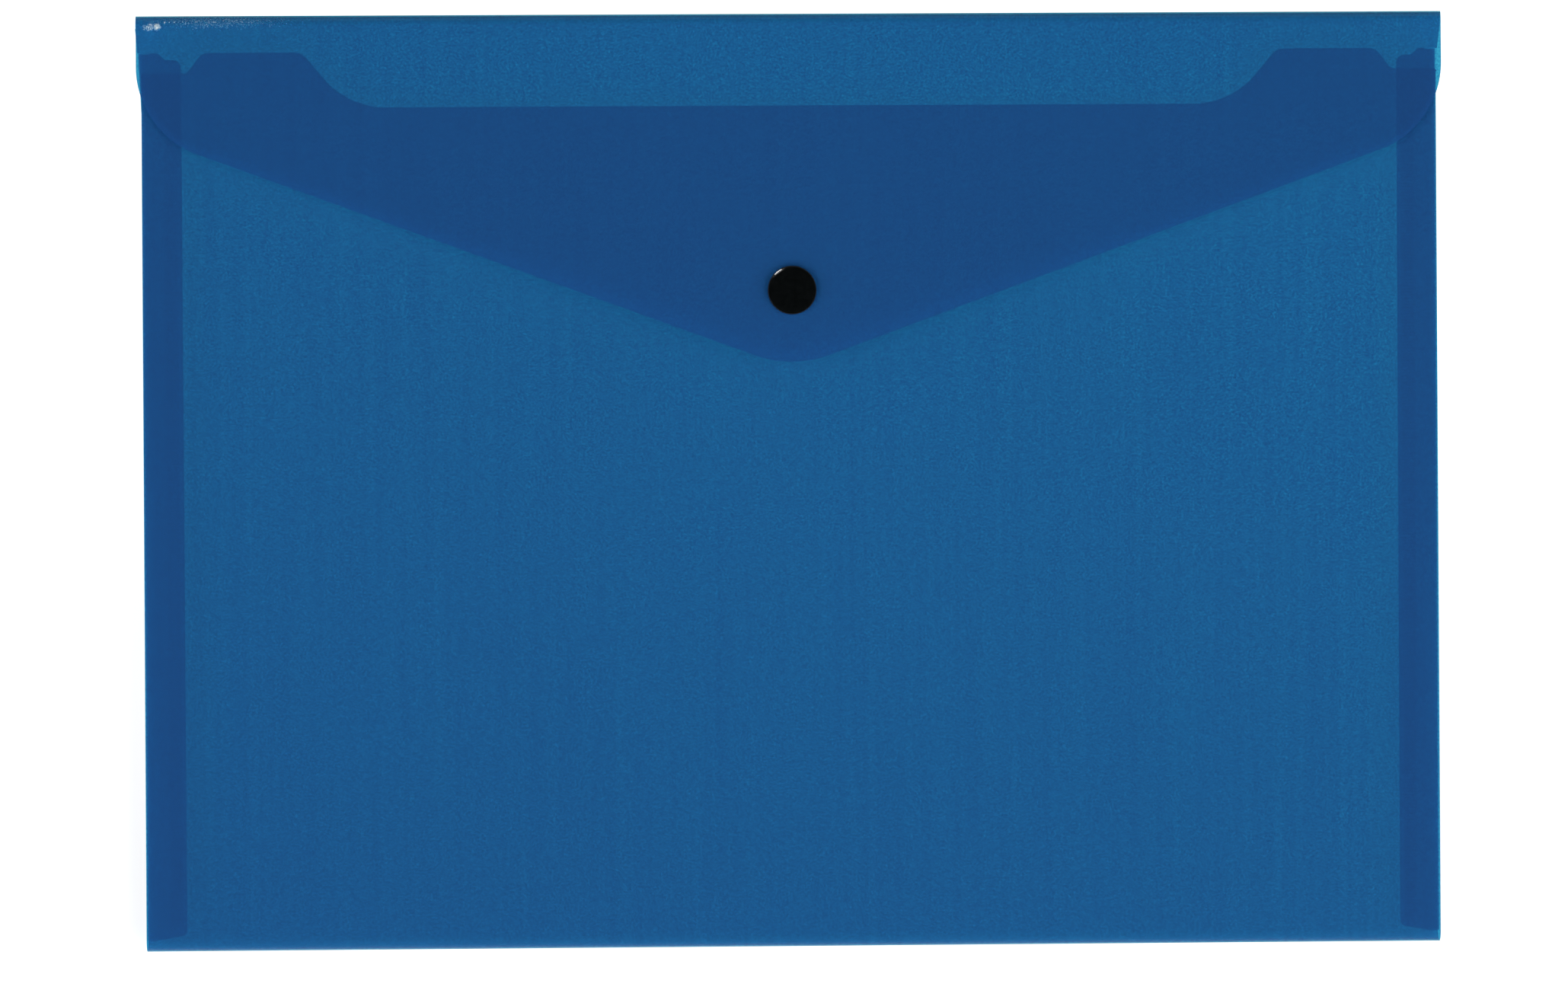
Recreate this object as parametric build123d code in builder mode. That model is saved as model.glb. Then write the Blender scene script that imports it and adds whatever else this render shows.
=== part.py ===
from build123d import *
import os
from math import acos, atan2, cos, degrees, hypot, sin

# A4 document wallet: one creased and welded plastic sheet, closed by a flap with a press stud.
# The wallet lies on its back: X runs across it, +Y points to the flap's crease and +Z out of its front.
# The origin is in the middle of the underside, and every size is in millimetres.

# Sheet and pocket
body_width = 333.0  # pocket, over its side folds
body_height = 240.0  # from the bottom fold to the flap's crease
sheet = 0.3  # thickness of the polypropylene
pocket_depth = 4.3  # clear height between the back panel and the seam strips

# Mouth of the front panel, as drops below the flap's crease and distances in from the pocket's side
mouth_drop = 23.7  # straight middle of the mouth
tab_drop = 9.6  # flat top of the two raised tabs
corner_drop = 14.8  # lowered corners, where the panel is welded
tab_inset = 15.9  # from the pocket's side to the tab's outer end
tab_width = 25.4
tab_outer_run = 4.0  # how far the slope down to the corner runs
tab_inner_run = 11.8  # how far the slope down to the mouth runs
mouth_radius = 21.0
tab_inner_radius = 4.0
tab_outer_radius = 3.0
corner_radius = 2.0
panel_end_radius = 1.0  # at the outer ends of the mouth

# Seam strips, folded in from the sides of the back panel
strip_width = 10.4  # from the pocket's side
strip_drop = 11.3  # top of the strip below the flap's crease
ear_drop = 9.6  # top of the small ear beside the fold
ear_width = 4.9  # from the pocket's side
ear_run = 1.6  # slope from the ear down to the strip's top
strip_top_radius = 2.0
strip_bottom_radius = 1.5
strip_slant = 1.4  # how much shorter the strip is at its inner edge
fold_relief = 0.3  # gap where two folds end beside each other
fold_staves = 4  # each pocket fold is divided lengthwise, so that every stave is nearly flat

# Weld between each strip and the front panel
weld_inset = 6.0  # from the pocket's side to the weld's outer edge
weld_width = 3.4
weld_height = 0.1
weld_end_margin = 2.0  # bare strip beyond each end of the weld

# Closure flap
flap_overhang = 1.0  # past the pocket on each side
flap_corner_drop = 29.9  # where the sides would meet the V edge with no rounding
flap_point_drop = 91.3  # where the two V edges would meet with no rounding
flap_corner_radius = 24.0
flap_point_radius = 28.0
flap_clearance = 0.3  # between the front panel and the flap at its crease

# Press stud
snap_drop = 71.2  # centre below the flap's crease
cap_diameter = 12.5
cap_height = 1.4
cap_edge_radius = 0.9
socket_diameter = 10.6
socket_height = 1.9
socket_web = 0.45  # floor of the socket, against the flap
stud_diameter = 10.6
stud_flange = 0.8
knob_diameter = 5.2
knob_height = 1.5  # above the flange
knob_edge_radius = 0.4
stud_cap_height = 1.2
stud_cap_edge_radius = 0.7
post_diameter = 2.6
stud_post_reach = 1.0  # how far the inner cap's post stands in the knob
post_clearance = 0.05  # round each post
snap_clearance = 0.3  # round the knob in the socket
snap_gap = 0.35  # between the socket's rim and the stud's flange

# Heights and centres that follow from the sizes above
half_body = body_width / 2
half_flap = half_body + flap_overhang
crease_y = body_height / 2
bottom_y = -body_height / 2
strip_z = sheet + pocket_depth
weld_z = strip_z + sheet
front_z = weld_z + weld_height
front_top_z = front_z + sheet
flap_z = front_top_z + flap_clearance  # underside of the flap at the crease

side_radius = (strip_z + sheet) / 2  # outside of each fold
bottom_radius = front_top_z / 2
top_radius = (flap_z + sheet) / 2
side_x = half_body - side_radius
bottom_fold_y = bottom_y + bottom_radius
top_fold_y = crease_y - top_radius
ear_y = crease_y - ear_drop
strip_end_y = bottom_fold_y + fold_relief

# The flap leaves its crease along a tangent and rises to the top of the closed press stud
snap_y = crease_y - snap_drop
snap_z = front_top_z + stud_flange + snap_gap + socket_height  # underside of the flap at the snap
top_inner_radius = top_radius - sheet
rise = snap_z - top_radius
reach = top_fold_y - snap_y
flap_tilt = acos(top_inner_radius / hypot(rise, reach)) - atan2(reach, rise)
tilt_degrees = degrees(flap_tilt)
flap_normal = (0, sin(flap_tilt), cos(flap_tilt))
flap_start_y = top_fold_y + top_inner_radius * sin(flap_tilt)
flap_start_z = top_radius + top_inner_radius * cos(flap_tilt)
flap_plane = Plane(origin=(0, flap_start_y, flap_start_z), x_dir=(1, 0, 0), z_dir=flap_normal)
flap_snap_plane = Plane(origin=(0, snap_y, snap_z), x_dir=(1, 0, 0), z_dir=flap_normal)
stud_plane = Plane(origin=(0, snap_y, front_top_z))
post_hole_radius = post_diameter / 2 + post_clearance


def along_flap(drop):
    """Place on the flap's own plane of a point that lies this far below the crease, seen from the front."""
    return (crease_y - drop - flap_start_y) / cos(flap_tilt)


def fold_profile(centre, outer_radius, start_angle, sweep):
    """Draws the section of a fold: the sheet bent round a centre."""
    with BuildLine() as section:
        outside = CenterArc(centre, outer_radius, start_angle, sweep)
        inside = CenterArc(centre, outer_radius - sheet, start_angle, sweep)
        Line(outside @ 0, inside @ 0)
        Line(outside @ 1, inside @ 1)
    make_face(section.edges())


def divide_fold(fold_axis):
    """Divides a half-round fold into its staves, by planes through its axis."""
    for cut in range(1, fold_staves):
        normal = Vector(0, 0, 1).rotate(fold_axis, 180 * cut / fold_staves - 90)
        cut_plane = Plane(origin=fold_axis.position, x_dir=fold_axis.direction, z_dir=normal)
        split(bisect_by=cut_plane, keep=Keep.BOTH)


def save(piece, label):
    """Names a finished piece and writes it."""
    piece.part.label = label
    export_step(piece.part, f"parts/{label}.step")


os.makedirs("parts", exist_ok=True)

# Back panel: flat rear wall, a little wider above the seam strips, where it carries the flap
with BuildPart() as back_panel:
    with BuildSketch():
        with BuildLine():
            Polyline(
                (0, bottom_fold_y),
                (side_x, bottom_fold_y),
                (side_x, ear_y + fold_relief),
                (half_flap, ear_y + fold_relief),
                (half_flap, top_fold_y),
                (0, top_fold_y),
            )
            mirror(about=Plane.YZ)
        make_face()
    extrude(amount=sheet)
save(back_panel, "back_panel")

# Bottom fold: the crease that turns the sheet up into the front panel
with BuildPart() as bottom_fold:
    with BuildSketch(Plane.YZ.offset(-half_body)):
        fold_profile((bottom_fold_y, bottom_radius), bottom_radius, 90, 180)
    extrude(amount=body_width)
    divide_fold(Axis((0, bottom_fold_y, bottom_radius), (1, 0, 0)))
save(bottom_fold, "bottom_fold")

# Front panel: its top edge dips at the mouth between two raised tabs and is lowered at the corners
mouth_y = crease_y - mouth_drop
tab_y = crease_y - tab_drop
corner_y = crease_y - corner_drop
tab_outer_x = half_body - tab_inset
tab_inner_x = tab_outer_x - tab_width
with BuildPart() as front_panel:
    with BuildSketch(Plane.XY.offset(front_z)):
        with BuildLine():
            top_edge = FilletPolyline(
                (0, mouth_y),
                (tab_inner_x - tab_inner_run, mouth_y),
                (tab_inner_x, tab_y),
                (tab_outer_x, tab_y),
                (tab_outer_x + tab_outer_run, corner_y),
                (half_body, corner_y),
                (half_body, bottom_fold_y),
                radius=[
                    mouth_radius,
                    tab_inner_radius,
                    tab_outer_radius,
                    corner_radius,
                    panel_end_radius,
                ],
            )
            Line(top_edge @ 1, (0, bottom_fold_y))
            mirror(about=Plane.YZ)
        make_face()
        with Locations((0, snap_y)):
            Circle(post_hole_radius, mode=Mode.SUBTRACT)
    extrude(amount=sheet)
save(front_panel, "front_panel")

# Each side has a fold, the seam strip that it carries, and the weld that joins strip and front panel
strip_inner_x = half_body - strip_width
strip_y = crease_y - strip_drop
ear_inner_x = half_body - ear_width
weld_top_y = corner_y - weld_end_margin
weld_bottom_y = strip_end_y + strip_slant + weld_end_margin
for side, sign in (("left", -1), ("right", 1)):
    with BuildPart() as side_fold:
        with BuildSketch(Plane.XZ.offset(-ear_y)):
            fold_profile((sign * side_x, side_radius), side_radius, -90, sign * 180)
        extrude(amount=ear_y - strip_end_y)
        divide_fold(Axis((sign * side_x, 0, side_radius), (0, 1, 0)))
    save(side_fold, f"{side}_side_fold")

    with BuildPart() as seam_strip:
        with BuildSketch(Plane.XY.offset(strip_z)):
            with BuildLine():
                strip_edge = FilletPolyline(
                    (sign * side_x, ear_y),
                    (sign * ear_inner_x, ear_y),
                    (sign * (ear_inner_x - ear_run), strip_y),
                    (sign * strip_inner_x, strip_y),
                    (sign * strip_inner_x, strip_end_y + strip_slant),
                    (sign * side_x, strip_end_y),
                    radius=[0, 0, strip_top_radius, strip_bottom_radius],
                )
                Line(strip_edge @ 1, strip_edge @ 0)
            make_face()
        extrude(amount=sheet)
    save(seam_strip, f"{side}_seam_strip")

    with BuildPart() as weld_seam:
        with BuildSketch(Plane.XY.offset(weld_z)):
            with Locations((sign * (half_body - weld_inset - weld_width / 2), weld_bottom_y)):
                Rectangle(
                    weld_width,
                    weld_top_y - weld_bottom_y,
                    align=(Align.CENTER, Align.MIN),
                )
        extrude(amount=weld_height)
    save(weld_seam, f"{side}_weld_seam")

# Top fold: the flap's living hinge, from the back panel round to the flap
with BuildPart() as top_fold:
    with BuildSketch(Plane.YZ.offset(-half_flap)):
        fold_profile((top_fold_y, top_radius), top_radius, -90, 180 - tilt_degrees)
    extrude(amount=2 * half_flap)
save(top_fold, "top_fold")

# Closure flap: straight sides, rounded corners and a shallow V with a rounded point
with BuildPart() as closure_flap:
    with BuildSketch(flap_plane):
        with BuildLine():
            flap_edge = FilletPolyline(
                (-half_flap, 0),
                (-half_flap, along_flap(flap_corner_drop)),
                (0, along_flap(flap_point_drop)),
                (half_flap, along_flap(flap_corner_drop)),
                (half_flap, 0),
                radius=[flap_corner_radius, flap_point_radius, flap_corner_radius],
            )
            Line(flap_edge @ 1, flap_edge @ 0)
        make_face()
        with Locations((0, along_flap(snap_drop))):
            Circle(post_hole_radius, mode=Mode.SUBTRACT)
    extrude(amount=sheet)
save(closure_flap, "closure_flap")

# Outer cap of the press stud: a flat disc with a rounded rim, and a post through the flap
with BuildPart() as snap_cap:
    with BuildSketch(flap_snap_plane.offset(sheet)):
        Circle(cap_diameter / 2)
    extrude(amount=cap_height)
    rim = snap_cap.faces().sort_by(Axis(flap_snap_plane.origin, flap_normal))[-1].edges()
    fillet(rim, cap_edge_radius)
    with BuildSketch(flap_snap_plane.offset(sheet)):
        Circle(post_diameter / 2)
    extrude(amount=-sheet - socket_web)
save(snap_cap, "snap_cap")

# Socket behind the flap: a ring with a floor, open towards the stud
knob_in_socket = knob_height - snap_gap + snap_clearance
with BuildPart() as snap_socket:
    with BuildSketch(flap_snap_plane):
        Circle(socket_diameter / 2)
        Circle(post_hole_radius, mode=Mode.SUBTRACT)
    extrude(amount=-socket_height)
    with BuildSketch(flap_snap_plane.offset(-socket_height)):
        Circle(knob_diameter / 2 + snap_clearance)
    extrude(amount=knob_in_socket, mode=Mode.SUBTRACT)
save(snap_socket, "snap_socket")

# Stud on the outside of the front panel: a flange with a round knob, bored for the inner cap's post
with BuildPart() as snap_stud:
    with BuildSketch(stud_plane):
        Circle(stud_diameter / 2)
    extrude(amount=stud_flange)
    with BuildSketch(stud_plane.offset(stud_flange)):
        Circle(knob_diameter / 2)
    extrude(amount=knob_height)
    fillet(snap_stud.faces().sort_by(Axis.Z)[-1].edges(), knob_edge_radius)
    with BuildSketch(stud_plane):
        Circle(post_hole_radius)
    extrude(amount=stud_flange + stud_post_reach, mode=Mode.SUBTRACT)
save(snap_stud, "snap_stud")

# Inner cap of the stud: a low disc inside the pocket, and a post through the front panel
with BuildPart() as snap_stud_cap:
    with BuildSketch(stud_plane.offset(-sheet)):
        Circle(cap_diameter / 2)
    extrude(amount=-stud_cap_height)
    fillet(snap_stud_cap.faces().sort_by(Axis.Z)[0].edges(), stud_cap_edge_radius)
    with BuildSketch(stud_plane.offset(-sheet)):
        Circle(post_diameter / 2)
    extrude(amount=sheet + stud_flange + stud_post_reach)
save(snap_stud_cap, "snap_stud_cap")
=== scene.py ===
from math import acos, atan2, cos, hypot, pi, radians, sin, tan

import bmesh
import bpy
from mathutils import Euler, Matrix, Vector


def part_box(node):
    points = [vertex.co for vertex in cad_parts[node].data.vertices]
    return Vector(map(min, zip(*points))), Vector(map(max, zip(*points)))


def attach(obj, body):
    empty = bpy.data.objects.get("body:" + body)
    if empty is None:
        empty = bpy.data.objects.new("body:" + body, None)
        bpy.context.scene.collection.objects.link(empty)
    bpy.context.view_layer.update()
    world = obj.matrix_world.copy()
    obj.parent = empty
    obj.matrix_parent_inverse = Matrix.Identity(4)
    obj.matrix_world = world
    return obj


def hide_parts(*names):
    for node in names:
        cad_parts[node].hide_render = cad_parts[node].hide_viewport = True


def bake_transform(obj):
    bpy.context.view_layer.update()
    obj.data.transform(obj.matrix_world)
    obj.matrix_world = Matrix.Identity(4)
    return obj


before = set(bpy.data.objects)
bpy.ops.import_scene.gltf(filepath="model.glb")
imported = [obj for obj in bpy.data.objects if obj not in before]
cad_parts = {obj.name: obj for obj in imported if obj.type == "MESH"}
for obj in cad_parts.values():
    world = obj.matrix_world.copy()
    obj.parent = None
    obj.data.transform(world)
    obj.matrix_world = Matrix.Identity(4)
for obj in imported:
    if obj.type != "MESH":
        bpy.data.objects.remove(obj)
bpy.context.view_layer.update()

# Pocket: one die-cut sheet of tinted polypropylene, 0.3 mm thick. A narrow seam strip on each side of
# the back panel is folded in, and the front panel is folded up over both strips from the bottom.
back_low, back_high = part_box("back_panel")
front_low, front_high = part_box("front_panel")
side_low, side_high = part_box("right_side_fold")
strip_low, strip_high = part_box("right_seam_strip")
top_low, top_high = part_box("top_fold")
sheet = back_high.z - back_low.z
half_body = front_high.x
crease_y = top_high.y

# The mouth is lowest in the middle, rises to a tab on each side and drops again to the front corners.
mouth_drop = 0.0237
front_corner_drop = 0.0148
tab_inset = 0.0159
tab_width = 0.0254
mouth_slope = 0.0118
corner_slope = 0.0040
mouth_y = crease_y - mouth_drop
tab_y = front_high.y
corner_y = crease_y - front_corner_drop
tab_outer_x = half_body - tab_inset
tab_inner_x = tab_outer_x - tab_width
mouth_end_x = tab_inner_x - mouth_slope
corner_start_x = tab_outer_x + corner_slope

# Corners of the mouth's outline on the right, then of the right ear's: x, y and the radius of each
mouth_outline = (
    (mouth_end_x, mouth_y, 0.0210),
    (tab_inner_x, tab_y, 0.0040),
    (tab_outer_x, tab_y, 0.0030),
    (corner_start_x, corner_y, 0.0020),
    (half_body, corner_y, 0.0010),
)
ear_tip_inset = 0.0049
ear_side_inset = 0.0065
ear_drop = 0.0113
ear_y = crease_y - ear_drop
ear_outline = (
    (half_body - ear_tip_inset, strip_high.y, 0.0008),
    (half_body - ear_side_inset, ear_y, 0.0012),
    (strip_low.x, ear_y, 0.0020),
)
strip_foot_rise = 0.0014
strip_foot_y = strip_low.y + strip_foot_rise
strip_foot_radius = 0.0015

bottom_band = 0.00015
seam_gap = 0.000002
score_width = 0.0003
shoulder_rise = 0.0003
shoulder_y = side_high.y + shoulder_rise
shoulder_inset = 0.0002
crease_flare = 0.0006
front_inset = 0.00028
fold_bulge = 0.0007
fold_bulge_reach = 0.0140
snap_drop = 0.0712
snap_y = crease_y - snap_drop
post_hole_radius = 0.00135

# How finely arcs, folds and flat film are divided, the angle up to which film is shaded smooth, and the
# distance below which two points count as one
fold_steps = 16
arc_step = 0.0007
bend_step = 0.0125
hole_sides = 32
film_smooth_angle = 20
hair = 1e-6


def add_panel(name, left, right, bottom, top, height):
    """Adds a flat rectangle of film and leaves it open in edit mode."""
    bpy.ops.object.select_all(action="DESELECT")
    bpy.ops.mesh.primitive_plane_add(size=1)
    panel = bpy.context.object
    panel.name = name
    panel.data.name = name
    bpy.ops.object.mode_set(mode="EDIT")
    bpy.ops.transform.resize(value=(right - left, top - bottom, 1), center_override=(0, 0, 0))
    bpy.ops.transform.translate(value=((left + right) / 2, (bottom + top) / 2, height))
    return panel


def pick(piece, inside):
    """Selects the points for which inside is true, with the edges and faces between them."""
    bpy.ops.mesh.select_mode(type="VERT")
    bpy.ops.mesh.select_all(action="DESELECT")
    mesh = bmesh.from_edit_mesh(piece.data)
    for point in mesh.verts:
        point.select_set(inside(point.co))
    mesh.select_flush_mode()
    bmesh.update_edit_mesh(piece.data)


def pick_point(piece, place):
    """Selects the one point at this place and returns it."""
    pick(piece, lambda point: (point - Vector(place)).length < 10 * hair)
    return next(point for point in bmesh.from_edit_mesh(piece.data).verts if point.select)


def pull(x=0.0, y=0.0, z=0.0):
    """Extrudes what is selected along a straight line."""
    bpy.ops.mesh.extrude_region_move(TRANSFORM_OT_translate={"value": (x, y, z)})


def drag(piece, place, target):
    """Moves one corner of an outline."""
    pick_point(piece, place)
    bpy.ops.transform.translate(value=Vector(target) - Vector(place))


def round_corner(piece, place, radius):
    """Rounds one corner of a flat outline by an arc that is tangent to both its edges."""
    corner = pick_point(piece, place)
    arms = [edge.other_vert(corner).co - corner.co for edge in corner.link_edges]
    turn = pi - arms[0].angle(arms[1])
    bpy.ops.mesh.bevel(
        affect="VERTICES",
        offset_type="ABSOLUTE",
        offset=radius * tan(turn / 2),
        segments=max(4, round(radius * turn / arc_step)),
        profile=(1 - 0.5 / (1 + cos(turn / 2))) ** 2,
    )


def crosscut(axis, first, last):
    """Cuts the film across at even steps, so that it can bend there."""
    cuts = round((last - first) / bend_step)
    for cut in range(1, cuts):
        bpy.ops.mesh.select_all(action="SELECT")
        place = Vector(axis) * (first + (last - first) * cut / cuts)
        bpy.ops.mesh.bisect(plane_co=place, plane_no=axis, threshold=hair / 10)


def press(piece, place, move, reach):
    """Pushes soft film round one spot, as a thumb would."""
    points = bmesh.from_edit_mesh(piece.data).verts
    nearest = min(points, key=lambda point: (point.co - Vector(place)).length).co.copy()
    pick(piece, lambda point: (point - nearest).length < hair)
    bpy.ops.transform.translate(
        value=move,
        use_proportional_edit=True,
        proportional_edit_falloff="SMOOTH",
        proportional_size=reach,
        use_proportional_connected=True,
    )


def give_thickness(piece):
    """Turns the outer face of a sheet into a wall of film, which thickens inwards.

    The lowest face of a sheet looks down, and all others follow it.
    """
    bpy.ops.mesh.select_all(action="SELECT")
    bpy.ops.mesh.remove_doubles(threshold=hair)
    bpy.ops.mesh.normals_make_consistent(inside=False)
    faces = bmesh.from_edit_mesh(piece.data).faces
    underside = min(faces, key=lambda face: face.calc_center_median().z)
    if underside.normal.z > 0:
        bpy.ops.mesh.flip_normals()
    bpy.ops.object.mode_set(mode="OBJECT")
    wall = piece.modifiers.new("film", "SOLIDIFY")
    wall.thickness = sheet
    wall.offset = -1
    wall.use_even_offset = True
    wall.use_quality_normals = True
    bpy.ops.object.modifier_apply(modifier=wall.name)


def score(piece, inside):
    """Thins a film to nothing along the crease, where it runs on into the next piece."""
    bpy.ops.object.mode_set(mode="EDIT")
    pick(piece, inside)
    bpy.ops.transform.resize(value=(1, 1, 0), center_override=(0, 0, sheet / 2))
    bpy.ops.mesh.remove_doubles(threshold=hair)
    bpy.ops.object.mode_set(mode="OBJECT")


def punch(piece, place, radius):
    """Punches a round hole through a sheet, upright at this place."""
    bpy.ops.object.select_all(action="DESELECT")
    bpy.ops.mesh.primitive_cylinder_add(
        vertices=hole_sides,
        radius=radius,
        depth=8 * sheet,
        location=place,
    )
    die = bpy.context.object
    bpy.context.view_layer.objects.active = piece
    hole = piece.modifiers.new("hole", "BOOLEAN")
    hole.operation = "DIFFERENCE"
    hole.solver = "EXACT"
    hole.object = die
    bpy.ops.object.modifier_apply(modifier=hole.name)
    bpy.data.objects.remove(die)


def finish_surface(piece, material, smooth_angle):
    """Shades a finished piece smooth up to an angle in degrees and gives it its material."""
    bpy.ops.object.select_all(action="DESELECT")
    piece.select_set(True)
    bpy.context.view_layer.objects.active = piece
    bpy.ops.object.shade_smooth_by_angle(angle=radians(smooth_angle))
    piece.data.materials.clear()
    piece.data.materials.append(material)


# The blank starts as a thin band along the bottom crease, and the back panel rises from its middle.
pocket = add_panel("pocket_sheet", -half_body, half_body, back_low.y, back_low.y + bottom_band, 0)
bpy.ops.mesh.flip_normals()
band_top = back_low.y + bottom_band
pick(pocket, lambda point: point.y > band_top - hair)
bpy.ops.mesh.subdivide(number_cuts=2, ngon=True)
for side in (-1, 1):
    drag(pocket, (side * half_body / 3, band_top, 0), (side * side_low.x, band_top, 0))
pick(pocket, lambda point: point.y > band_top - hair and abs(point.x) < side_low.x + hair)
pull(y=side_low.y - band_top)
pull(y=side_high.y - side_low.y)
pull(y=shoulder_y - side_high.y)
pull(y=back_high.y - shoulder_y - seam_gap - score_width)
pull(y=score_width)
for side in (-1, 1):
    pick(pocket, lambda point: side * point.x > side_low.x - hair and point.y > shoulder_y - hair)
    pull(x=side * (top_high.x + crease_flare - side_low.x))
    shoulder = (side * (top_high.x + crease_flare), shoulder_y, 0)
    drag(pocket, shoulder, (side * (top_high.x - shoulder_inset), shoulder_y, 0))

# Side folds and seam strips, with a small ear at the top of each strip
side_radius = side_high.z / 2
for side in (-1, 1):
    pick(
        pocket,
        lambda point: abs(point.x - side * side_low.x) < hair
        and side_low.y - hair < point.y < side_high.y + hair,
    )
    bpy.ops.mesh.spin(
        steps=fold_steps,
        angle=side * pi,
        center=(side * side_low.x, 0, side_radius),
        axis=(0, 1, 0),
    )
    pull(x=side * (strip_low.x - strip_high.x))
    pick(
        pocket,
        lambda point: point.z > strip_high.z - hair
        and abs(point.y - strip_high.y) < hair
        and side * point.x > 0,
    )
    bpy.ops.mesh.subdivide(number_cuts=2, ngon=True)
    for corner, (x, y, radius) in enumerate(ear_outline, 1):
        start_x = strip_high.x + (strip_low.x - strip_high.x) * corner / len(ear_outline)
        drag(pocket, (side * start_x, strip_high.y, strip_high.z), (side * x, y, strip_high.z))
    foot = (side * strip_low.x, strip_foot_y, strip_high.z)
    drag(pocket, (side * strip_low.x, strip_low.y, strip_high.z), foot)
    for x, y, radius in ear_outline:
        round_corner(pocket, (side * x, y, strip_high.z), radius)
    round_corner(pocket, foot, strip_foot_radius)

# Bottom crease and front panel, with its mouth cut between two raised tabs
bottom_radius = front_high.z / 2
pick(pocket, lambda point: point.y < back_low.y + hair)
bpy.ops.mesh.spin(steps=fold_steps, angle=pi, center=(0, back_low.y, bottom_radius), axis=(1, 0, 0))
pull(y=corner_y - front_low.y)
mouth_corners = 2 * len(mouth_outline)
bpy.ops.mesh.subdivide(number_cuts=mouth_corners - 2, ngon=True)
for corner in range(mouth_corners // 2):
    start_x = half_body * (2 * corner + 1) / (mouth_corners - 1)
    x, y, radius = mouth_outline[corner]
    for side in (-1, 1):
        drag(pocket, (side * start_x, corner_y, front_high.z), (side * x, y, front_high.z))
for x, y, radius in mouth_outline:
    for side in (-1, 1):
        round_corner(pocket, (side * x, y, front_high.z), radius)

# The front panel is cut a little narrower than the folded sides.
for side in (-1, 1):
    pick(
        pocket,
        lambda point: side * point.x > half_body - hair
        and point.z > front_high.z - hair
        and point.y > front_low.y + hair,
    )
    bpy.ops.transform.translate(value=(-side * front_inset, 0, 0))

# The empty pocket sags a little below the press stud, and its film is never quite flat. Each soft spot
# has x, y, lift and reach. The left fold bulges at its upper end.
crosscut((1, 0, 0), -half_body, half_body)
crosscut((0, 1, 0), front_low.y, crease_y)
soft_spots = (
    (0.000, -0.040, -0.0010, 0.085),
    (-0.095, -0.060, -0.0005, 0.055),
    (0.100, -0.045, -0.0006, 0.055),
    (-0.060, 0.045, -0.0004, 0.040),
    (0.075, 0.040, -0.0003, 0.040),
    (0.035, -0.085, 0.0003, 0.030),
)
for x, y, lift, reach in soft_spots:
    press(pocket, (x, y, front_high.z), (0, 0, lift), reach)
press(pocket, (-half_body, side_high.y, side_radius), (-fold_bulge, 0, 0), fold_bulge_reach)
give_thickness(pocket)
score(pocket, lambda point: point.y > back_high.y - seam_gap - hair)
punch(pocket, (0, snap_y, front_high.z - sheet / 2), post_hole_radius)


def node_adder(owner):
    """Empties the nodes of a material or world and returns a function that adds new ones to it."""
    owner.use_nodes = True
    tree = owner.node_tree
    tree.nodes.clear()

    def add(kind, inputs=None, **settings):
        node = tree.nodes.new(kind)
        for key, value in settings.items():
            setattr(node, key, value)
        for key, value in (inputs or {}).items():
            if isinstance(value, bpy.types.NodeSocket):
                tree.links.new(value, node.inputs[key])
            else:
                node.inputs[key].default_value = value
        return node

    return add


def color_range(add, amount, first, last):
    """Adds a ramp between two colours, each given with its place from 0 to 1, and returns its output."""
    ramp = add("ShaderNodeValToRGB", {"Fac": amount})
    for element, (position, color) in zip(ramp.color_ramp.elements, (first, last)):
        element.position = position
        element.color = color
    return ramp.outputs["Color"]


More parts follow.
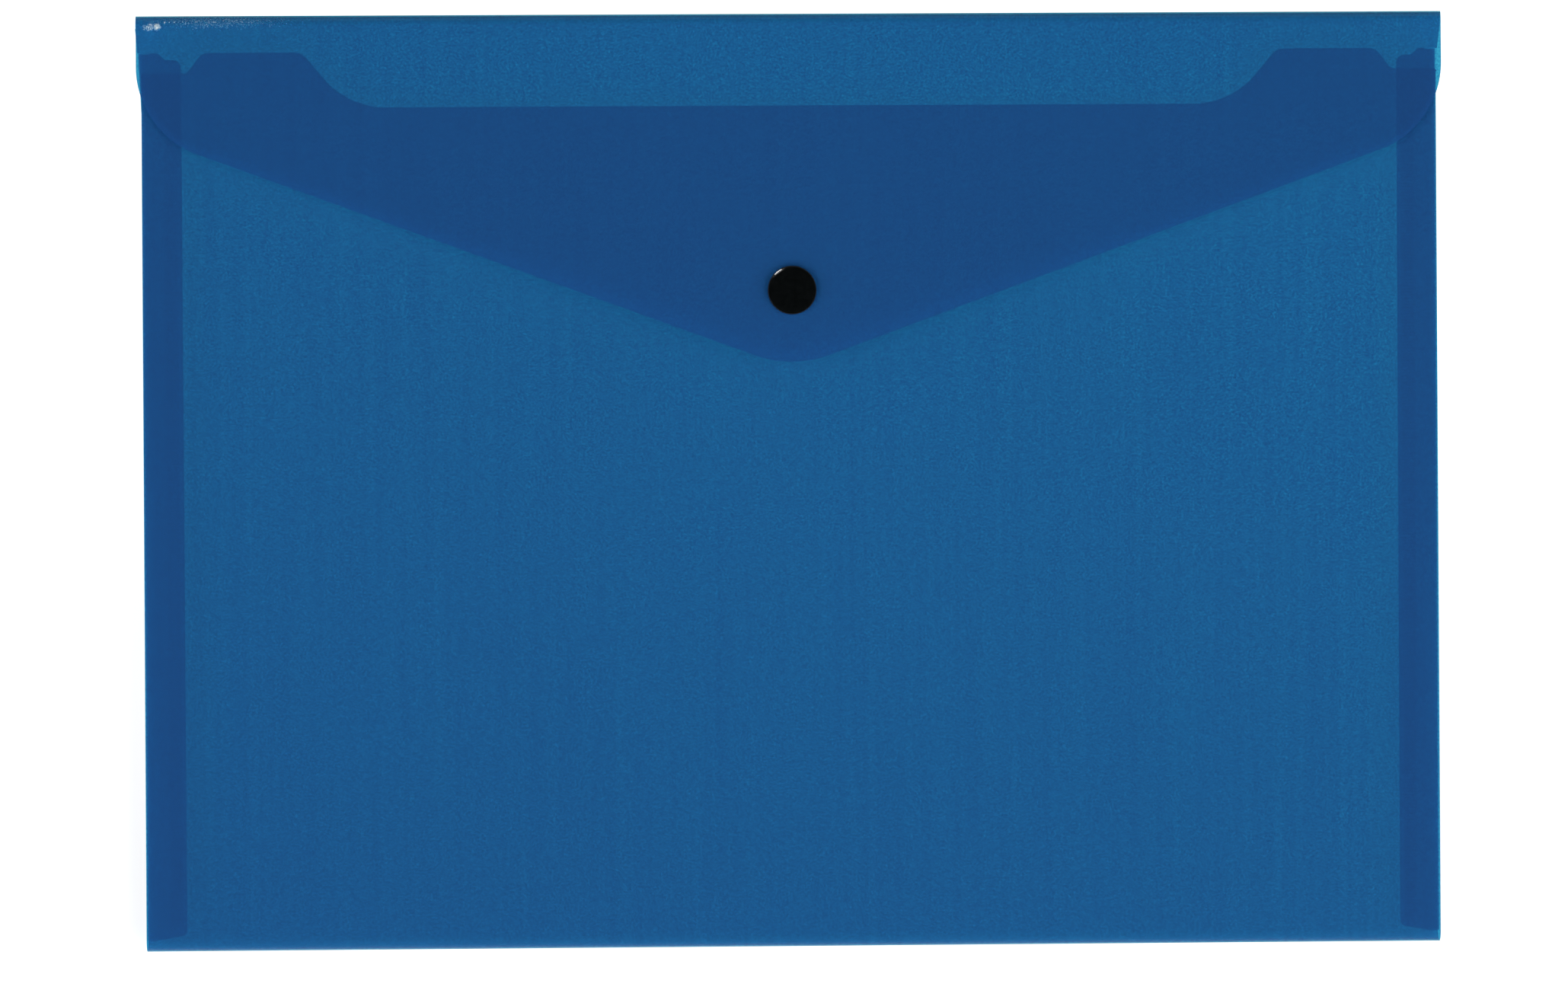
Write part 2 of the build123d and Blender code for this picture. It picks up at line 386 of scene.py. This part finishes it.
def polypropylene(name, deep, pale, with_painted_glints=False):
    """Tinted film: an embossed grain that thins and thickens it, and faint streaks as it was drawn.

    A film with painted glints also has pale flecks of painted highlight, where its glint attribute is
    above zero.
    """
    thin = 0.32
    thick = 0.68
    streak_share = 0.12
    haze_share = 0.3
    material = bpy.data.materials.new(name)
    add = node_adder(material)
    place = add("ShaderNodeTexCoord").outputs["Object"]
    grain = add("ShaderNodeTexNoise", {"Vector": place, "Scale": 1800, "Detail": 2, "Roughness": 0.55})
    drawn = add("ShaderNodeMapping", {"Vector": place, "Scale": (1, 0.02, 1)})
    streak = add(
        "ShaderNodeTexNoise",
        {"Vector": drawn.outputs["Vector"], "Scale": 420, "Detail": 2, "Roughness": 0.5},
    )
    drift = add("ShaderNodeMath", {0: streak.outputs["Fac"], 1: streak_share}, operation="MULTIPLY")
    relief = add(
        "ShaderNodeMath",
        {0: grain.outputs["Fac"], 1: 1 - streak_share, 2: drift.outputs[0]},
        operation="MULTIPLY_ADD",
    )
    pigment = color_range(
        add,
        relief.outputs[0],
        (thin, (0.0450, 0.1840, 0.537, 1)),
        (thick, (0.0465, 0.1900, 0.553, 1)),
    )
    tint = color_range(add, relief.outputs[0], (thin, deep), (thick, pale))
    emboss = add(
        "ShaderNodeBump",
        {"Strength": 1.0, "Distance": 0.00004, "Height": grain.outputs["Fac"]},
    )
    haze = add("ShaderNodeBsdfDiffuse", {"Color": pigment, "Normal": emboss.outputs["Normal"]})
    clear = add("ShaderNodeBsdfTransparent", {"Color": tint})
    body = add("ShaderNodeMixShader", {0: haze_share, 1: clear.outputs["BSDF"], 2: haze.outputs["BSDF"]})
    mirror = add("ShaderNodeFresnel", {"IOR": 1.49, "Normal": emboss.outputs["Normal"]})
    side = add("ShaderNodeNewGeometry")
    outside = add("ShaderNodeMath", {0: 1.0, 1: side.outputs["Backfacing"]}, operation="SUBTRACT")
    shine = add("ShaderNodeMath", {0: mirror.outputs["Fac"], 1: outside.outputs[0]}, operation="MULTIPLY")
    gloss = add(
        "ShaderNodeBsdfGlossy",
        {"Color": (1, 1, 1, 1), "Roughness": 0.16, "Normal": emboss.outputs["Normal"]},
    )
    film = add(
        "ShaderNodeMixShader",
        {0: shine.outputs[0], 1: body.outputs["Shader"], 2: gloss.outputs["BSDF"]},
    )
    # Painted highlight: pale diffuse flecks, mixed in by the glint attribute, stand in for the window's
    # glints.
    if with_painted_glints:
        painted_glint = add("ShaderNodeAttribute", attribute_name="painted_glint")
        glint_speckle = add("ShaderNodeTexNoise", {"Vector": place, "Scale": 2600, "Detail": 2, "Roughness": 0.6})
        speckled_glint = add(
            "ShaderNodeMath",
            {0: glint_speckle.outputs["Fac"], 1: painted_glint.outputs["Fac"]},
            operation="ADD",
        )
        glint_share = add(
            "ShaderNodeMapRange",
            {"Value": speckled_glint.outputs[0], "From Min": 0.76, "From Max": 1.26},
        )
        glint_colour = color_range(
            add,
            glint_share.outputs["Result"],
            (0.0, (0.15, 0.52, 0.95, 1)),
            (0.7, (0.80, 0.93, 0.97, 1)),
        )
        glint_paint = add("ShaderNodeBsdfDiffuse", {"Color": glint_colour})
        film = add(
            "ShaderNodeMixShader",
            {0: glint_share.outputs["Result"], 1: film.outputs["Shader"], 2: glint_paint.outputs["BSDF"]},
        )
    add("ShaderNodeOutputMaterial", {"Surface": film.outputs["Shader"]})
    return material


film_blue = polypropylene("blue_polypropylene", (0.138, 0.569, 0.713, 1), (0.258, 0.821, 0.887, 1))
finish_surface(pocket, film_blue, film_smooth_angle)
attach(pocket, "pocket")
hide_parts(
    "back_panel",
    "front_panel",
    "bottom_fold",
    "left_side_fold",
    "right_side_fold",
    "left_seam_strip",
    "right_seam_strip",
)

# Welded seams: a hot ribbed bar has pressed the front panel onto each seam strip. The melted film
# stands as a row of short cross ribs between the two layers, bonded into both.
rib_pitch = 0.0008
rib_width = 0.0004
rib_end_radius = 0.00018
melt_depth = 0.00002
rib_smooth_angle = 30


def weld_bead(name):
    """Melted film: nearly clear, a little milky and a shade more violet than the sheet."""
    few = 0.3
    many = 0.7
    material = bpy.data.materials.new(name)
    add = node_adder(material)
    place = add("ShaderNodeTexCoord").outputs["Object"]
    bubbles = add("ShaderNodeTexNoise", {"Vector": place, "Scale": 2600, "Detail": 2})
    tint = color_range(
        add,
        bubbles.outputs["Fac"],
        (few, (0.045, 0.060, 0.220, 1)),
        (many, (0.070, 0.085, 0.300, 1)),
    )
    milk = add("ShaderNodeBsdfDiffuse", {"Color": tint})
    clear = add("ShaderNodeBsdfTransparent", {"Color": (0.90, 0.90, 0.96, 1)})
    cloud = add(
        "ShaderNodeMapRange",
        {
            "Value": bubbles.outputs["Fac"],
            "From Min": few,
            "From Max": many,
            "To Min": 0.06,
            "To Max": 0.14,
        },
    )
    bead = add(
        "ShaderNodeMixShader",
        {0: cloud.outputs["Result"], 1: clear.outputs["BSDF"], 2: milk.outputs["BSDF"]},
    )
    add("ShaderNodeOutputMaterial", {"Surface": bead.outputs["Shader"]})
    return material


weld_blue = weld_bead("blue_weld_bead")
for hand in ("left", "right"):
    weld_low, weld_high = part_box(hand + "_weld_seam")
    rib_length = weld_high.x - weld_low.x
    rib_height = weld_high.z - weld_low.z + 2 * melt_depth
    rib_count = round((weld_high.y - weld_low.y) / rib_pitch)
    first_rib = (weld_low + weld_high) / 2
    first_rib.y = weld_low.y + rib_pitch / 2
    bpy.ops.object.select_all(action="DESELECT")
    bpy.ops.mesh.primitive_cube_add(size=1)
    weld = bpy.context.object
    weld.name = hand + "_weld_ribs"
    weld.data.name = weld.name
    bpy.ops.object.mode_set(mode="EDIT")
    bpy.ops.transform.resize(value=(rib_length, rib_width, rib_height), center_override=(0, 0, 0))
    bpy.ops.transform.translate(value=first_rib)
    bpy.ops.mesh.select_mode(type="EDGE")
    bpy.ops.mesh.select_all(action="DESELECT")
    rib = bmesh.from_edit_mesh(weld.data)
    for edge in rib.edges:
        along = edge.verts[1].co - edge.verts[0].co
        edge.select_set(abs(along.z) > rib_height / 2)
    bmesh.update_edit_mesh(weld.data)
    bpy.ops.mesh.bevel(affect="EDGES", offset=rib_end_radius, segments=3, profile=0.5)
    bpy.ops.object.mode_set(mode="OBJECT")
    row = weld.modifiers.new("row", "ARRAY")
    row.count = rib_count
    row.use_relative_offset = False
    row.use_constant_offset = True
    row.constant_offset_displace = (0, rib_pitch, 0)
    bpy.ops.object.modifier_apply(modifier=row.name)
    finish_surface(weld, weld_blue, rib_smooth_angle)
    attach(weld, "pocket")
    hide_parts(hand + "_weld_seam")

# Closure flap: the upper part of the same sheet, turned over the top crease to the front. It has
# straight sides, rounded corners and a shallow V, and it leans on the closed press stud.
half_flap = top_high.x
top_radius = top_high.z / 2
fold_y = top_low.y
stud_flange = 0.0008
socket_height = 0.0019
snap_gap = 0.00035
snap_z = front_high.z + stud_flange + snap_gap + socket_height
inner_radius = top_radius - sheet
rise = snap_z - top_radius
run = fold_y - snap_y
tilt = acos(inner_radius / hypot(rise, run)) - atan2(run, rise)


def along_flap(drop):
    """Distance on the flap's own plane from the fold to a point this far below the crease."""
    return (drop - (crease_y - fold_y) + top_radius * sin(tilt)) / cos(tilt)


corner_drop = 0.0299
corner_radius = 0.0240
point_drop = 0.0913
point_radius = 0.0280
flare_reach = 0.0090
flap_corner_y = fold_y - along_flap(corner_drop)
flap_point_y = fold_y - along_flap(point_drop)
flap_height = 2 * top_radius
flap = add_panel("flap_sheet", -half_flap, half_flap, flap_corner_y, fold_y, flap_height)
pick(flap, lambda point: point.y < flap_corner_y + hair)
bpy.ops.mesh.subdivide(number_cuts=1, ngon=True)
drag(flap, (0, flap_corner_y, flap_height), (0, flap_point_y, flap_height))
round_corner(flap, (0, flap_point_y, flap_height), point_radius)
for side in (-1, 1):
    round_corner(flap, (side * half_flap, flap_corner_y, flap_height), corner_radius)

# It is tilted about its fold, and the fold is then turned down to the back panel.
fold_axis = (0, fold_y, top_radius)
bpy.ops.mesh.select_all(action="SELECT")
bpy.ops.transform.rotate(value=tilt, orient_axis="X", center_override=fold_axis)
crease_start = fold_y + top_radius * sin(tilt)
pick(flap, lambda point: point.y > crease_start - hair)
bpy.ops.mesh.spin(steps=2 * fold_steps, angle=pi - tilt, center=fold_axis, axis=(1, 0, 0))
crosscut((1, 0, 0), -half_flap, half_flap)
crosscut((0, 1, 0), crease_y - point_drop, fold_y)

# The film sags towards the front panel on each side of the stud, and flares a little at the ends of the
# crease. Each spot has x, y, lift and reach.
rest_spots = (
    (-0.160, 0.094, -0.0007, 0.024),
    (0.160, 0.094, -0.0007, 0.024),
    (-0.100, 0.068, -0.0006, 0.040),
    (0.100, 0.068, -0.0006, 0.040),
)
for x, y, lift, reach in rest_spots:
    press(flap, (x, y, flap_height), (0, 0, lift), reach)
for side in (-1, 1):
    press(flap, (side * half_flap, fold_y, 0), (side * crease_flare, 0, 0), flare_reach)

# The left end of the crease has a pinch mark and small nicks beside it, from being pressed shut. The film
# is cut finely there. Each nick is a raised spot beside a lowered one: the place between them, how far
# they are from it in x and y, their lift and their reach.
pinch_inset = 0.0038
pinch_x = pinch_inset - half_flap
pinch_step = 0.0003
cuts_left = 9
cuts_right = 80
cuts_below = 6
for cut in range(-cuts_left, cuts_right + 1):
    bpy.ops.mesh.select_all(action="SELECT")
    across = (pinch_x + cut * pinch_step, 0, 0)
    bpy.ops.mesh.bisect(plane_co=across, plane_no=(1, 0, 0), threshold=hair / 10)
for cut in range(1, cuts_below + 1):
    bpy.ops.mesh.select_all(action="SELECT")
    along = (0, fold_y - cut * pinch_step, 0)
    bpy.ops.mesh.bisect(plane_co=along, plane_no=(0, 1, 0), threshold=hair / 10)
nicks = (
    (0.0000, 0.0006, 0.00060, -0.00078, 0.00024, 0.0022),
    (-0.0015, 0.0012, 0.00045, 0.00000, 0.00008, 0.0010),
    (0.0018, 0.0009, 0.00030, -0.00020, 0.00009, 0.0009),
    (0.0036, 0.0012, 0.00030, 0.00000, 0.00008, 0.0008),
    (0.0048, 0.0012, 0.00030, 0.00000, 0.00006, 0.0008),
    (0.0060, 0.0013, 0.00030, 0.00000, 0.00007, 0.0008),
    (0.0081, 0.0012, 0.00030, 0.00000, 0.00006, 0.0008),
    (0.0090, 0.0013, 0.00030, 0.00000, 0.00007, 0.0008),
    (0.0114, 0.0012, 0.00030, 0.00000, 0.00006, 0.0008),
    (0.0150, 0.0013, 0.00030, 0.00000, 0.00007, 0.0008),
    (0.0162, 0.0012, 0.00030, 0.00000, 0.00006, 0.0008),
    (0.0213, 0.0013, 0.00030, 0.00000, 0.00006, 0.0008),
)
for x, y, step_x, step_y, lift, reach in nicks:
    for way in (1, -1):
        nick_y = y + way * step_y
        nick_z = top_radius + (top_radius ** 2 - nick_y ** 2) ** 0.5
        spot = (pinch_x + x + way * step_x, fold_y + nick_y, nick_z)
        press(flap, spot, (0, 0, way * lift), reach)
give_thickness(flap)
score(flap, lambda point: point.z < sheet + hair and point.y < fold_y + hair)
punch(flap, (0, snap_y, snap_z + sheet / 2), post_hole_radius)

# Painted glints: pale flecks round the pinch and along the crease stand in for the window's highlights
# there.
# Each mark is an oval: x, y, half its width, half its height and the glint strength in its middle.
painted_glint_marks = (
    (0.0016, 0.0001, 0.0014, 0.0014, 0.66),
    (-0.0004, -0.0001, 0.0026, 0.0013, 0.50),
    (0.0180, 0.0014, 0.0260, 0.0028, 0.31),
)
painted_glint = flap.data.attributes.new("painted_glint", "FLOAT", "POINT")
for point, mark in zip(flap.data.vertices, painted_glint.data):
    for x, y, width, height, amount in painted_glint_marks:
        off_x = (point.co.x - pinch_x - x) / width
        off_y = (point.co.y - fold_y - y) / height
        if point.co.z > top_radius:
            mark.value = max(mark.value, amount * (1 - off_x ** 2 - off_y ** 2))
# The flap's film carries the painted glints round the pinch and along the crease.
flap_blue = polypropylene(
    "blue_polypropylene_flap",
    (0.138, 0.558, 0.713, 1),
    (0.258, 0.805, 0.887, 1),
    with_painted_glints=True,
)
finish_surface(flap, flap_blue, film_smooth_angle)
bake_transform(flap)
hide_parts("top_fold", "closure_flap")

# Press stud, upper half: a black acetal cap on the flap. Its post goes through the flap and is squashed
# flat inside the socket behind, whose spring fingers close round the knob of the stud.
cap_radius = 0.00625
cap_height = 0.0014
cap_wall = 0.0009
cap_slope = 0.0009
cap_edge = 0.00025
cap_crown = (0.000035, 0.00002, 0.00001)
cap_crown_ring = 0.0014
cap_foot_edge = 0.00012
post_radius = 0.0013
post_head_radius = 0.0019
post_head_height = 0.00012
head_gap = 0.00002
socket_radius = 0.0053
socket_web = 0.00045
socket_rim = 0.0006
socket_trough = 0.0009
collar_radius = 0.0037
collar_bore = 0.0029
collar_drop = 0.0013
finger_length = 0.00035
finger_count = 6
finger_slot_sides = 2
round_sides = 96
moulded_edge = 0.0001
edge_steps = 3
soft_edge_steps = 6
moulded_smooth_angle = 35


def add_disc(name, radius, bottom, top):
    """Adds a round blank that stands on the stud's own axis and leaves it open in edit mode."""
    bpy.ops.object.select_all(action="DESELECT")
    bpy.ops.mesh.primitive_cylinder_add(vertices=round_sides, radius=radius, depth=top - bottom)
    disc = bpy.context.object
    disc.name = name
    disc.data.name = name
    bpy.ops.object.mode_set(mode="EDIT")
    bpy.ops.transform.translate(value=(0, 0, (bottom + top) / 2))
    return disc


def pick_faces(piece, inside):
    """Selects the faces for whose middle point inside is true."""
    bpy.ops.mesh.select_mode(type="FACE")
    bpy.ops.mesh.select_all(action="DESELECT")
    mesh = bmesh.from_edit_mesh(piece.data)
    for face in mesh.faces:
        face.select_set(inside(face.calc_center_median()))
    bmesh.update_edit_mesh(piece.data)


def pick_end(piece, height):
    """Selects the round face that closes a turned piece at this height."""
    pick_faces(piece, lambda middle: abs(middle.z - height) < hair and middle.xy.length < 10 * hair)


def turn_step(inward, rise):
    """Cuts the selected round face back to a smaller one and raises or sinks it, as on a lathe."""
    bpy.ops.mesh.inset(thickness=inward)
    pull(z=rise)


def ease_edge(piece, radius, height, size, steps):
    """Rounds the circular edge at this radius and height."""
    pick(
        piece,
        lambda point: abs(point.xy.length - radius) < 20 * hair and abs(point.z - height) < 10 * hair,
    )
    bpy.ops.mesh.bevel(affect="EDGES", offset=size, segments=steps, profile=0.5)


def swell(share):
    """Makes the selected round face wider or narrower."""
    bpy.ops.transform.resize(value=(share, share, 1), center_override=(0, 0, 0))


def bore_through(piece, low, high):
    """Joins two round faces of the same size by a bore."""
    pick_faces(
        piece,
        lambda middle: middle.xy.length < 10 * hair
        and min(abs(middle.z - low), abs(middle.z - high)) < hair,
    )
    bpy.ops.mesh.bridge_edge_loops()


def seat(piece, place, lean):
    """Leans a turned piece with the film that carries it, and sets it in its place."""
    bpy.ops.mesh.select_all(action="SELECT")
    bpy.ops.mesh.normals_make_consistent(inside=False)
    if lean:
        bpy.ops.transform.rotate(value=lean, orient_axis="X", center_override=(0, 0, 0))
    bpy.ops.transform.translate(value=place)
    bpy.ops.object.mode_set(mode="OBJECT")


def black_acetal(name):
    """Moulded acetal: near black, polished by its mould, with faint flow marks and fine handling haze."""
    low = 0.3
    high = 0.7
    material = bpy.data.materials.new(name)
    add = node_adder(material)
    place = add("ShaderNodeTexCoord").outputs["Object"]
    flow = add("ShaderNodeTexNoise", {"Vector": place, "Scale": 600, "Detail": 4, "Distortion": 0.6})
    pore = add("ShaderNodeTexNoise", {"Vector": place, "Scale": 5200, "Detail": 2})
    tone = color_range(
        add,
        flow.outputs["Fac"],
        (low, (0.0026, 0.0034, 0.0036, 1)),
        (high, (0.0040, 0.0050, 0.0053, 1)),
    )
    polish = add(
        "ShaderNodeMapRange",
        {
            "Value": flow.outputs["Fac"],
            "From Min": low,
            "From Max": high,
            "To Min": 0.13,
            "To Max": 0.19,
        },
    )
    skin = add("ShaderNodeBump", {"Strength": 0.4, "Distance": 0.000004, "Height": pore.outputs["Fac"]})
    acetal = add(
        "ShaderNodeBsdfPrincipled",
        {
            "Base Color": tone,
            "Roughness": polish.outputs["Result"],
            "Normal": skin.outputs["Normal"],
            "IOR": 1.48,
            "Specular IOR Level": 1.0,
        },
    )
    add("ShaderNodeOutputMaterial", {"Surface": acetal.outputs["BSDF"]})
    return material


snap_black = black_acetal("black_acetal")
flap_seat = (0, snap_y, snap_z)

cap_face = sheet + cap_height - sum(cap_crown)
cap = add_disc("press_cap", cap_radius, sheet, sheet + cap_wall)
pick_end(cap, sheet + cap_wall)
bpy.ops.mesh.inset(thickness=cap_slope)
bpy.ops.transform.translate(value=(0, 0, cap_face - sheet - cap_wall))
ease_edge(cap, cap_radius, sheet + cap_wall, cap_edge, soft_edge_steps)
ease_edge(cap, cap_radius - cap_slope, cap_face, cap_edge, soft_edge_steps)
ease_edge(cap, cap_radius, sheet, cap_foot_edge, edge_steps)
pick_end(cap, cap_face)
for rise in cap_crown:
    bpy.ops.mesh.inset(thickness=cap_crown_ring)
    bpy.ops.transform.translate(value=(0, 0, rise))
pick_end(cap, sheet)
turn_step(cap_radius - cap_foot_edge - post_radius, -sheet - socket_web - head_gap)
swell(post_head_radius / post_radius)
pull(z=-post_head_height)
post_end = -socket_web - head_gap - post_head_height
ease_edge(cap, post_head_radius, post_end, post_head_height / 2, edge_steps)
seat(cap, flap_seat, tilt)
finish_surface(cap, snap_black, moulded_smooth_angle)
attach(cap, "flap")
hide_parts("snap_cap")

socket = add_disc("press_socket", socket_radius, -socket_height, 0)
pick_end(socket, -socket_height)
turn_step(socket_rim, socket_trough)
turn_step(socket_radius - socket_rim - collar_radius, socket_height - socket_trough - collar_drop)
collar_foot = -collar_drop
turn_step(collar_radius - collar_bore, collar_drop - socket_web)
bpy.ops.mesh.inset(thickness=collar_bore - post_hole_radius)
pick_end(socket, 0)
bpy.ops.mesh.inset(thickness=socket_radius - post_hole_radius)
bore_through(socket, -socket_web, 0)
finger_sides = round_sides // finger_count


def on_finger(middle):
    """True for the faces on the collar's end that carry a spring finger, false for the slots between."""
    sector = int((atan2(middle.y, middle.x) / (2 * pi) % 1) * round_sides)
    on_collar = abs(middle.z - collar_foot) < hair and collar_bore < middle.xy.length < collar_radius
    return on_collar and sector % finger_sides >= finger_slot_sides


pick_faces(socket, on_finger)
pull(z=-finger_length)
ease_edge(socket, socket_radius, -socket_height, moulded_edge, edge_steps)
ease_edge(socket, socket_radius, 0, moulded_edge, edge_steps)
ease_edge(socket, socket_radius - socket_rim, -socket_height, moulded_edge, edge_steps)
seat(socket, flap_seat, tilt)
finish_surface(socket, snap_black, moulded_smooth_angle)
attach(socket, "flap")
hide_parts("snap_socket")

# Press stud, lower half: a black acetal stud on the front panel, with a mushroom knob that snaps into the
# socket. The post of a low inner cap comes through the panel from inside the pocket and holds it.
stud_radius = 0.0053
stud_rim = 0.0006
stud_trough = 0.00018
stud_hub_radius = 0.0036
neck_radius = 0.00235
neck_height = 0.0006
knob_radius = 0.0026
knob_height = 0.0015
knob_shoulder = 0.00025
knob_edge = 0.0004
knob_dimple_radius = 0.0013
knob_dimple = 0.00012
knob_dimple_taper = 0.7
post_reach = 0.0010
inner_cap_height = 0.0012
inner_cap_edge = 0.0007
inner_cap_edge_steps = 10
post_tip_edge = 0.00012
panel_seat = (0, snap_y, front_high.z)

stud = add_disc("press_stud", stud_radius, 0, stud_flange)
pick_end(stud, stud_flange)
turn_step(stud_rim, -stud_trough)
turn_step(stud_radius - stud_rim - stud_hub_radius, stud_trough)
turn_step(stud_hub_radius - neck_radius, neck_height)
pull(z=knob_shoulder)
swell(knob_radius / neck_radius)
pull(z=knob_height - neck_height - knob_shoulder)
bpy.ops.mesh.inset(thickness=knob_radius - knob_dimple_radius)
pull(z=-knob_dimple)
swell(knob_dimple_taper)
ease_edge(stud, knob_radius, stud_flange + knob_height, knob_edge, soft_edge_steps)
ease_edge(stud, stud_radius, stud_flange, moulded_edge, edge_steps)
ease_edge(stud, stud_radius, 0, moulded_edge, edge_steps)
pick_end(stud, 0)
turn_step(stud_radius - moulded_edge - post_hole_radius, stud_flange + post_reach)
seat(stud, panel_seat, 0)
finish_surface(stud, snap_black, moulded_smooth_angle)
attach(stud, "pocket")
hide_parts("snap_stud")

inner_cap_face = -sheet - inner_cap_height + sum(cap_crown)
inner_cap = add_disc("press_inner_cap", cap_radius, inner_cap_face, -sheet)
ease_edge(inner_cap, cap_radius, inner_cap_face, inner_cap_edge, inner_cap_edge_steps)
ease_edge(inner_cap, cap_radius, -sheet, cap_foot_edge, edge_steps)
pick_end(inner_cap, inner_cap_face)
for rise in cap_crown:
    bpy.ops.mesh.inset(thickness=cap_crown_ring)
    bpy.ops.transform.translate(value=(0, 0, -rise))
pick_end(inner_cap, -sheet)
turn_step(cap_radius - cap_foot_edge - post_radius, sheet + stud_flange + post_reach)
ease_edge(inner_cap, post_radius, stud_flange + post_reach, post_tip_edge, edge_steps)
seat(inner_cap, panel_seat, 0)
finish_surface(inner_cap, snap_black, moulded_smooth_angle)
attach(inner_cap, "pocket")
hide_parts("snap_stud_cap")

# White desk under the wallet, soft studio light from both sides, and the camera straight above. Towards
# the upper right the desk glows more and takes less shadow, so the film is a little lighter there.
desk_size = 2.4
desk_drop = 0.0004
bright_way = (0.36, 0.93, 0)
desk_white = 1.3
bpy.ops.object.select_all(action="DESELECT")
bpy.ops.mesh.primitive_plane_add(size=desk_size, location=(0, 0, -desk_drop))
desk = bpy.context.object
desk.name = "desk"
white = bpy.data.materials.new("white_desk")
add = node_adder(white)
rays = add("ShaderNodeLightPath")
seen = add(
    "ShaderNodeMath",
    {0: rays.outputs["Is Camera Ray"], 1: rays.outputs["Is Transmission Ray"]},
    operation="ADD",
    use_clamp=True,
)
place = add("ShaderNodeTexCoord").outputs["Object"]
toward_bright = add("ShaderNodeVectorMath", {0: place, 1: bright_way}, operation="DOT_PRODUCT")
light_share = add(
    "ShaderNodeMapRange",
    {
        "Value": toward_bright.outputs["Value"],
        "From Min": -0.15,
        "From Max": 0.10,
        "To Min": 0.57,
        "To Max": 1.07,
    },
)
matt_share = add(
    "ShaderNodeMath",
    {0: desk_white, 1: light_share.outputs["Result"]},
    operation="SUBTRACT",
)
glow = add(
    "ShaderNodeMath",
    {0: seen.outputs[0], 1: light_share.outputs["Result"]},
    operation="MULTIPLY",
)
paper = add("ShaderNodeBsdfDiffuse", {"Color": matt_share.outputs[0]})
lift = add("ShaderNodeEmission", {"Color": (1, 1, 1, 1), "Strength": glow.outputs[0]})
both = add("ShaderNodeAddShader", {0: paper.outputs["BSDF"], 1: lift.outputs["Emission"]})
add("ShaderNodeOutputMaterial", {"Surface": both.outputs["Shader"]})
desk.data.materials.append(white)

# The camera sees white all round. The film reflects pale walls that fade into a dark ceiling.
wall_strength = 0.4
world = bpy.data.worlds.new("studio")
add = node_adder(world)
toward = add("ShaderNodeTexCoord").outputs["Generated"]
upward = add("ShaderNodeSeparateXYZ", {"Vector": toward})
wall_glow = add("ShaderNodeValToRGB", {"Fac": upward.outputs["Z"]})
wall_glow.color_ramp.interpolation = "EASE"
wall_glow.color_ramp.elements[0].position = 0.05
wall_glow.color_ramp.elements[0].color = (0.15, 0.15, 0.15, 1)
wall_glow.color_ramp.elements[1].position = 0.45
wall_glow.color_ramp.elements[1].color = (0, 0, 0, 1)
wall_glow.color_ramp.elements.new(0.22).color = (1, 1, 1, 1)
walls = add("ShaderNodeBackground", {"Color": wall_glow.outputs["Color"], "Strength": wall_strength})
backdrop = add("ShaderNodeBackground", {"Color": (1, 1, 1, 1), "Strength": 1.0})
rays = add("ShaderNodeLightPath")
shown = add(
    "ShaderNodeMixShader",
    {0: rays.outputs["Is Camera Ray"], 1: walls.outputs["Background"], 2: backdrop.outputs["Background"]},
)
add("ShaderNodeOutputWorld", {"Surface": shown.outputs["Shader"]})
bpy.context.scene.world = world


def add_lamp(name, place, width, height, power):
    """Adds a soft lamp that looks at the middle of the wallet."""
    lamp = bpy.data.lights.new(name, "AREA")
    lamp.shape = "RECTANGLE"
    lamp.size = width
    lamp.size_y = height
    lamp.energy = power
    lamp_object = bpy.data.objects.new(name, lamp)
    lamp_object.location = place
    lamp_object.rotation_euler = Vector(place).to_track_quat("Z", "Y").to_euler()
    bpy.context.scene.collection.objects.link(lamp_object)
    return lamp_object


# The window at the upper left shows only as a glint, and the two broad lamps only light the film evenly.
window = add_lamp("window", (-0.62, 1.00, 0.62), width=0.36, height=0.12, power=3)
window.visible_diffuse = False
for side, hand in ((1, "right"), (-1, "left")):
    lamp = add_lamp(hand + "_lamp", (side * 1.40, -0.60, 1.05), width=2.8, height=1.2, power=34)
    lamp.visible_glossy = False

scene = bpy.context.scene
scene.cycles.transparent_max_bounces = 32
scene.view_settings.view_transform = "Standard"

aim = Vector((-0.00225, -0.00334, 0.003))
camera_turn = Euler((radians(-0.655), radians(-1.495), radians(-0.354)))
camera_distance = 1.4
camera_data = bpy.data.cameras.new("camera")
camera_data.sensor_fit = "HORIZONTAL"
camera_data.sensor_width = 36
camera_data.lens = 124.892
camera = bpy.data.objects.new("camera", camera_data)
camera.rotation_euler = camera_turn
camera.location = aim + camera_turn.to_matrix() @ Vector((0, 0, camera_distance))
scene.collection.objects.link(camera)
scene.camera = camera
